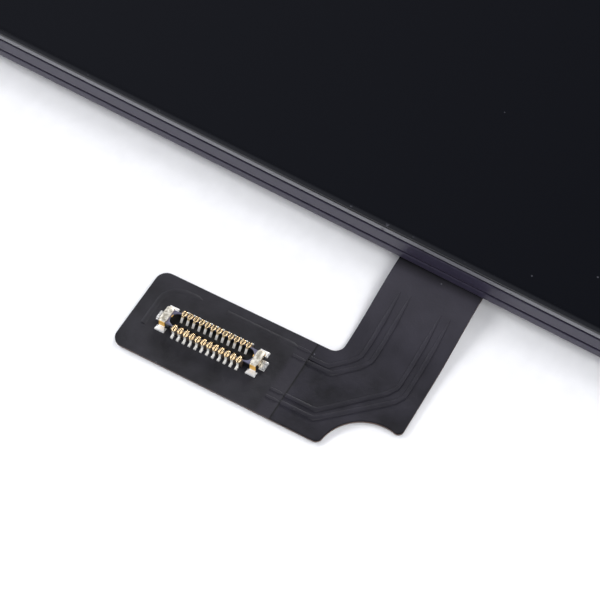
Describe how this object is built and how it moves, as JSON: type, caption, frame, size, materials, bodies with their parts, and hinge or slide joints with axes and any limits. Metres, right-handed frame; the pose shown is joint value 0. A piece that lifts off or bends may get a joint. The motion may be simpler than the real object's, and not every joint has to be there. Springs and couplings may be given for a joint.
{
  "type": "phone lcd screen assembly",
  "caption": "Phone display assembly: black cover glass in a grooved dark frame, layered backlit panel inside, and an L-shaped flex tail ending in a small board plug.",
  "frame": {"origin": "centre of the display's outline, on the plane that its back cushions rest on", "axes": "+Y along the long side towards the earpiece end, +Z out of the glass, +X towards the side that the flex tail leaves"},
  "size_m": [0.082, 0.146, 0.0032],
  "materials": {
    "cover_glass": "polished black-backed glass, rounded edge",
    "mesh_black": "fine woven acoustic mesh",
    "glue_dark": "cured dark adhesive",
    "bezel_plastic": "moulded glass-filled nylon, satin",
    "clear_glue": "clear optical adhesive",
    "polarizer": "dark polarizer film",
    "panel_glass": "thin display glass",
    "chip_black": "moulded chip package",
    "film_black": "black polyester tape",
    "film_clear": "prism and diffuser film",
    "light_guide": "moulded acrylic light guide",
    "film_white": "white reflector film",
    "plastic_white": "moulded white polycarbonate",
    "led_body": "phosphor-filled diode package",
    "flex_amber": "polyimide film",
    "plate_steel": "pressed stainless steel",
    "tape_tan": "thin double-sided tape",
    "flex_black": "black polyimide coverlay, satin",
    "film_stem": "black shield film, satin",
    "stiffener_steel": "thin stainless sheet",
    "plug_black": "moulded liquid-crystal polymer",
    "contact_gold": "gold-plated copper alloy",
    "hold_down_metal": "formed and plated copper alloy",
    "solder": "bright reflowed tin solder",
    "ceramic_tan": "fired ceramic chip",
    "ferrite_grey": "moulded ferrite",
    "graphite": "graphite sheet under film",
    "foam_black": "closed-cell foam"
  },
  "bodies": {
    "root": {"cover_glass": "cover_glass", "earpiece_mesh": "mesh_black", "frame_adhesive": "glue_dark", "bezel_frame": "bezel_plastic", "optical_adhesive": "clear_glue", "front_polarizer": "polarizer", "colour_filter_glass": "panel_glass", "tft_glass": "panel_glass", "driver_ic": "chip_black", "rear_polarizer": "polarizer", "rim_tape": "film_black", "upper_prism_film": "film_clear", "lower_prism_film": "film_clear", "diffuser_film": "film_clear", "light_guide": "light_guide", "reflector_film": "film_white", "led_flex": "flex_amber", "leds": "led_body", "backlight_frame": "plastic_white", "back_plate": "plate_steel", "flex_adhesive": "tape_tan", "display_flex": "flex_black", "stem_film": "film_stem", "plug_stiffener": "stiffener_steel", "plug_housing": "plug_black", "near_contacts": "contact_gold", "far_contacts": "contact_gold", "hold_down_left": "hold_down_metal", "hold_down_right": "hold_down_metal", "solder_joints": "solder", "controller_ic": "chip_black", "flex_capacitors": "ceramic_tan", "flex_inductors": "ferrite_grey", "graphite_sheet": "graphite", "centre_pad": "foam_black", "edge_pads": "foam_black"}
  },
  "joints": []
}
